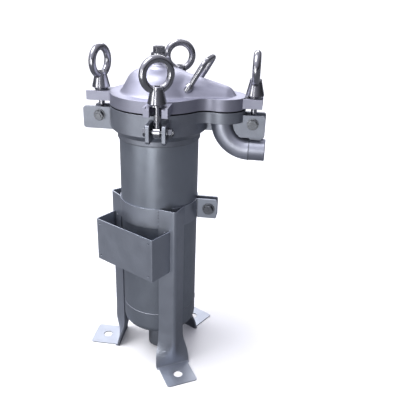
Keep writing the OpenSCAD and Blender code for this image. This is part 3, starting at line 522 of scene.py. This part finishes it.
def swept(points, radius, closed):
    """Verts in metres and faces of a tube through points in mm; radius(i) is its radius at point i."""
    count = len(points)
    verts, faces = [], []
    normal = None
    for i, p in enumerate(points):
        before = points[i - 1] if closed or i else p
        after = points[(i + 1) % count] if closed or i < count - 1 else p
        along = (after - before).normalized()
        if normal is None:
            normal = along.orthogonal().normalized()
        normal = (normal - along * normal.dot(along)).normalized()
        side = along.cross(normal)
        for k in range(BEAD_SIDES):
            a = 2 * math.pi * k / BEAD_SIDES
            verts.append((p + (normal * math.cos(a) + side * math.sin(a)) * radius(i)) * MM)

    last = (count - 1) * BEAD_SIDES
    twist = min(range(BEAD_SIDES), key=lambda k: (verts[last + k] - verts[0]).length) if closed else 0
    for i in range(count if closed else count - 1):
        j = (i + 1) % count
        shift = 0 if j else twist
        for k in range(BEAD_SIDES):
            near = i * BEAD_SIDES + (k + shift) % BEAD_SIDES
            near_next = i * BEAD_SIDES + (k + 1 + shift) % BEAD_SIDES
            faces.append((near, near_next, j * BEAD_SIDES + (k + 1) % BEAD_SIDES, j * BEAD_SIDES + k))
    if not closed:
        faces.append(tuple(reversed(range(BEAD_SIDES))))
        faces.append(tuple(range(last, last + BEAD_SIDES)))
    return verts, faces


def hand_weld(count, width, closed):
    """Radius at each of a bead's points: ripples, a slow drift and, on an open bead, tapered ends."""
    phase = random.uniform(0, 6)
    drift = [random.uniform(-1, 1) for _ in range(count // DRIFT_STEP + 2)]

    def radius(i):
        knot, part = divmod(i, DRIFT_STEP)
        start, end = drift[knot % len(drift)], drift[(knot + 1) % len(drift)]
        wobble = start * (1 - part / DRIFT_STEP) + end * part / DRIFT_STEP
        wave = math.sin(2 * math.pi * i * BEAD_STEP / RIPPLE + phase)
        ends = 1.0 if closed else min(1.0, TAPER_START + min(i, count - 1 - i) / TAPER_STEPS)
        return width * ends * (1 + RIPPLE_SHARE * wave + DRIFT_SHARE * wobble)

    return radius


def bead(name, paths, width, body, closed=False):
    """Hand welded beads along the paths, in one piece."""
    verts, faces = [], []
    for path in paths:
        line = resample(path, closed)
        tube_verts, tube_faces = swept(line, hand_weld(len(line), width, closed), closed)
        faces += [tuple(k + len(verts) for k in face) for face in tube_faces]
        verts += tube_verts
    piece(name, verts, faces, WELD, body)


def ring(r, z):
    """Level circle about the vessel's axis."""
    turns = [2 * math.pi * k / RING_POINTS for k in range(RING_POINTS)]
    return [(r * math.cos(a), r * math.sin(a), z) for a in turns]


def casting_radius(z):
    """Outer radius of the flange casting: ring, cone, then flange."""
    cone_z = CASTING_Z + RING_H
    if z < cone_z:
        return RING_R
    return min(FLANGE_R, RING_R + (FLANGE_R - RING_R) * (z - cone_z) / CONE_H)


def plate_welds():
    """Beads where the clevis plates meet the round casting at the left, the front and the rear."""
    steps = 29
    paths = []
    for (dx, dy), middle, down in (((-1, 0), 0.0, CLEVIS_DEEP), ((0, -1), STATION_X, CLEVIS_DOWN),
                                   ((0, 1), STATION_X, CLEVIS_DOWN)):
        for side in (-1, 1):
            across = middle + side * (CLEVIS_HALF + CLEAR)
            path = []
            for k in range(steps + 1):
                z = PIN_Z - down + (CLEVIS_UP + down) * k / steps
                r = casting_radius(z) + CLEAR
                out = math.sqrt(r * r - across * across)
                path.append((dx * out + abs(dy) * across, dy * out + abs(dx) * across, z))
            paths.append(path)
    bead("weld_clevis", paths, width=2.0, body="housing")


def band_welds():
    """Beads of the clamp lugs on the band, and the rows of tacks beside the front and the rear leg."""
    edge = 2
    paths = []
    for side in (-1, 1):
        y = side * (CLAMP_HALF + CLEAR)
        x = math.sqrt(BAND_OUT ** 2 - y * y) + CLEAR
        paths.append([(x, y, BAND_TOP - BAND_H + edge), (x, y, BAND_TOP - edge)])
    bead("weld_clamp", paths, width=1.8, body="housing")

    tack_turn, half_length, proud = 79.75, 2.2, 0.6
    heights = (514, 504, 495, 485, 472)
    tacks = []
    for turn in (-tack_turn, tack_turn):
        x, y = turned(BAND_OUT + proud, 0.0, turn)
        for z in heights:
            tacks.append([(x, y, z - half_length), (x, y, z + half_length)])
    bead("weld_tacks", tacks, width=1.9, body="housing")


def round_welds():
    """Beads all round: at head, casting, elbow and basket, and at the outlet socket and round its neck."""
    neck_bead_z = 77.2
    on_lobe = [(LOBE_X + x, y, z) for x, y, z in ring(PIPE_R, ELBOW_TOP)]
    on_pipe = [(ELBOW_X, x, INLET_Z + y) for x, y, _ in ring(PIPE_R, 0)]
    outlet = [ring(NECK_R + 0.6, SOCKET_TOP), ring(NECK_R + 1.0, neck_bead_z)]
    basket = [ring(BASKET_R + 0.6, LEDGE_Z - 0.6), ring(BASKET_R - 0.1, BASKET_BOTTOM + 1.0)]
    bottom = [ring(SHELL_R - 0.1, WELD_Z)]
    top = [ring(SHELL_R + 1.2, CASTING_Z - 0.8)]
    bead("weld_bottom", bottom, width=1.3, body="housing", closed=True)
    bead("weld_top", top, width=2.4, body="housing", closed=True)
    bead("weld_inlet", [on_lobe, on_pipe], width=1.5, body="housing", closed=True)
    bead("weld_outlet", outlet, width=2.2, body="housing", closed=True)
    bead("weld_basket", basket, width=1.1, body="basket", closed=True)


def small_tacks():
    """Tacks between the bracket and the wings of the front and the left leg."""
    along, proud, half_length = 0.62, 0.6, 3
    heights = (455, 395, 342)
    tacks = []
    for leg, side in (("front", -1), ("left", 1)):
        plan = sheet_point(side * along * LEG_SIDE, LEG_ANGLE, LEG_RIDGE, LEG_T / 2 + proud)
        x, y = turned(*plan, LEG_TURNS[leg])
        for z in heights:
            tacks.append([(x, y, z - half_length), (x, y, z + half_length)])
    bead("weld_bracket", tacks, width=1.9, body="housing")


# Skins of the legs

TOE_R = 9.0
PROUD = 0.35
PROUD_AT_FOOT = 1.25
FOOT_ZONE = 110
FOOT_FADE = 25


def toe_kick(z):
    """How far the round join with the foot brings the sheet's outer face forward."""
    return TOE_R - math.sqrt(TOE_R ** 2 - (TOE_R - z) ** 2) if z < TOE_R else 0.0


def leg_skin(name, turn):
    """Pressed sheet of a leg with its even bends, over the faceted solid."""
    nose_steps, press_steps = 8, 30
    wing = [0.35, 0.6, 0.994, 1.0]
    nose = [k * NOSE_RUN / LEG_SIDE / nose_steps for k in range(-nose_steps, nose_steps + 1)]
    runs = [-share for share in reversed(wing)] + nose + wing
    levels = [0.25, 0.8, 1.6, 2.6, 3.8, 5.2, 7.0, TOE_R]
    levels += [TOE_R + (LEG_FLATTEN - TOE_R) * k / press_steps for k in range(1, press_steps + 1)]
    levels += [130, 200, 300, 400, 480, BAND_TOP + 0.2]
    verts, faces = [], []
    for face in (1, -1):
        for z in levels:
            ease = smoothstep((z - LEG_T / 2) / (LEG_FLATTEN - LEG_T / 2))
            half = FLAT_HALF + (LEG_ANGLE - FLAT_HALF) * ease
            ridge = FLAT_R + (LEG_RIDGE - FLAT_R) * ease
            proud = PROUD + PROUD_AT_FOOT * smoothstep((FOOT_ZONE - z) / FOOT_FADE)
            kick = toe_kick(z) if face > 0 else 0.0
            for run in runs:
                x, y = sheet_point(run * (LEG_SIDE + proud), half, ridge, face * (LEG_T / 2 + proud))
                x, y = turned(x + kick, y, turn)
                verts.append((x * MM, y * MM, z * MM))

    across, up = len(runs), len(levels)
    back = across * up
    for j in range(up - 1):
        for k in range(across - 1):
            front = (j * across + k, j * across + k + 1, (j + 1) * across + k + 1, (j + 1) * across + k)
            faces.append(front)
            faces.append(tuple(back + i for i in reversed(front)))
        for k in (0, across - 1):
            low, high = j * across + k, (j + 1) * across + k
            faces.append((low, high, back + high, back + low))
    for j in (0, up - 1):
        for k in range(across - 1):
            here = j * across + k
            faces.append((here, back + here, back + here + 1, here + 1))
    obj = piece(name, verts, faces, MATERIALS["sheet_steel"], "housing")
    clean(obj, merge=0.01 * MM, crease=35)


# The order of these calls is the order of the random draws
lid_skin()
seal_lip()
small_tacks()
for leg_name, leg_turn in LEG_TURNS.items():
    leg_skin("skin_leg_" + leg_name, leg_turn)
plate_welds()
band_welds()
round_welds()


# Stage: floor, light and camera

WHITE = (1, 1, 1, 1)
FLOOR_GLOW = (0.12, 0.125, 0.135, 1)
SKY = [
    (0.0, (0.055, 0.06, 0.07)),
    (0.12, (0.13, 0.135, 0.16)),
    (0.4, (0.7, 0.7, 0.82)),
    (0.8, (0.95, 0.95, 1.08)),
]
FOCAL_PIXELS = 540.49
PHOTO_PIXELS = 400.0
SENSOR = 36.0
CAMERA_PLACE = (0.3019, -1.4203, 1.128)
CAMERA_TURN, CAMERA_DOWN, CAMERA_ROLL = 7.33, 23.3, 1.7


def seen_only(g, seen, unseen):
    """Colour that the camera sees on floor or surround, while the other one lights the object."""
    path = g.add("ShaderNodeLightPath")
    return g.mix(path.outputs["Is Camera Ray"], unseen, seen)


def floor():
    half = 60.0
    mesh = bpy.data.meshes.new("floor")
    corners = [(-half, -half, 0), (half, -half, 0), (half, half, 0), (-half, half, 0)]
    mesh.from_pydata(corners, [], [(0, 1, 2, 3)])
    obj = add_object("floor", mesh)
    g = Graph(bpy.data.materials.new("floor"))
    pale = g.ramp(g.noise(scale=3.0), [(0.3, (0.9, 0.9, 0.905)), (0.7, (0.92, 0.92, 0.925))])
    mesh.materials.append(g.surface({"Base Color": seen_only(g, pale, FLOOR_GLOW), "Roughness": 0.9}))


def world(stops, left, right):
    """Studio surround: dark near the horizon and bright overhead, times left or right on the two sides."""
    scene.world = bpy.data.worlds.new("studio")
    g = Graph(scene.world)
    place = g.add("ShaderNodeTexCoord")
    split = g.add("ShaderNodeSeparateXYZ")
    g.feed(place.outputs["Generated"], split.inputs["Vector"])
    scale = g.add("ShaderNodeVectorMath")
    scale.operation = "SCALE"
    g.feed(g.ramp(split.outputs["Z"], stops), scale.inputs[0])
    g.feed(g.spread(split.outputs["X"], low=right, high=left, start=0.9, end=-0.9), scale.inputs["Scale"])
    g.feed(seen_only(g, WHITE, scale.outputs["Vector"]), g.tree.nodes["Background"].inputs["Color"])


def sun(turn, rise, angle, power):
    """Soft sun from a direction: degrees about the axis from the pipe's side, and above the floor."""
    light = bpy.data.lights.new("sun", "SUN")
    light.angle = math.radians(angle)
    light.energy = power
    a, e = math.radians(turn), math.radians(rise)
    way = Vector((math.cos(a) * math.cos(e), math.sin(a) * math.cos(e), math.sin(e)))
    add_object("sun", light).rotation_euler = way.to_track_quat("Z", "Y").to_euler()


def area(name, place, aim, width, height, power):
    """Soft box at a place, turned to what it lights."""
    light = bpy.data.lights.new(name, "AREA")
    light.shape = "RECTANGLE"
    light.size = width
    light.size_y = height
    light.energy = power
    obj = add_object(name, light)
    obj.location = place
    obj.rotation_euler = (Vector(aim) - Vector(place)).to_track_quat("-Z", "Y").to_euler()


def camera():
    """The photograph's view, solved from the shell, the feet and the flange."""
    turn, down, roll = math.radians(CAMERA_TURN), math.radians(CAMERA_DOWN), math.radians(CAMERA_ROLL)
    forward = Vector((-math.sin(turn) * math.cos(down), math.cos(turn) * math.cos(down), -math.sin(down)))
    right = Vector((math.cos(turn), math.sin(turn), 0))
    up = right.cross(forward)
    x = right * math.cos(roll) + up * math.sin(roll)
    y = up * math.cos(roll) - right * math.sin(roll)
    cam = bpy.data.cameras.new("camera")
    cam.sensor_width = SENSOR
    cam.lens = FOCAL_PIXELS * SENSOR / PHOTO_PIXELS
    obj = add_object("camera", cam)
    rotation = Matrix((x, y, -forward)).transposed()
    obj.matrix_world = Matrix.Translation(CAMERA_PLACE) @ rotation.to_4x4()
    scene.camera = obj


floor()
world(SKY, left=1.35, right=0.35)
sun(turn=205, rise=66, angle=45, power=2.2)
area("left", place=(-2.2, -2.2, 0.9), aim=(0, 0, 0.35), width=1.0, height=2.2, power=23)
area("front", place=(-0.45, -2.9, 0.55), aim=(0, 0, 0.3), width=0.8, height=1.8, power=28)
area("back", place=(-0.5, 2.6, 2.6), aim=(0, 0, 0.6), width=2.6, height=1.0, power=30)
camera()
scene.view_settings.view_transform = "Standard"
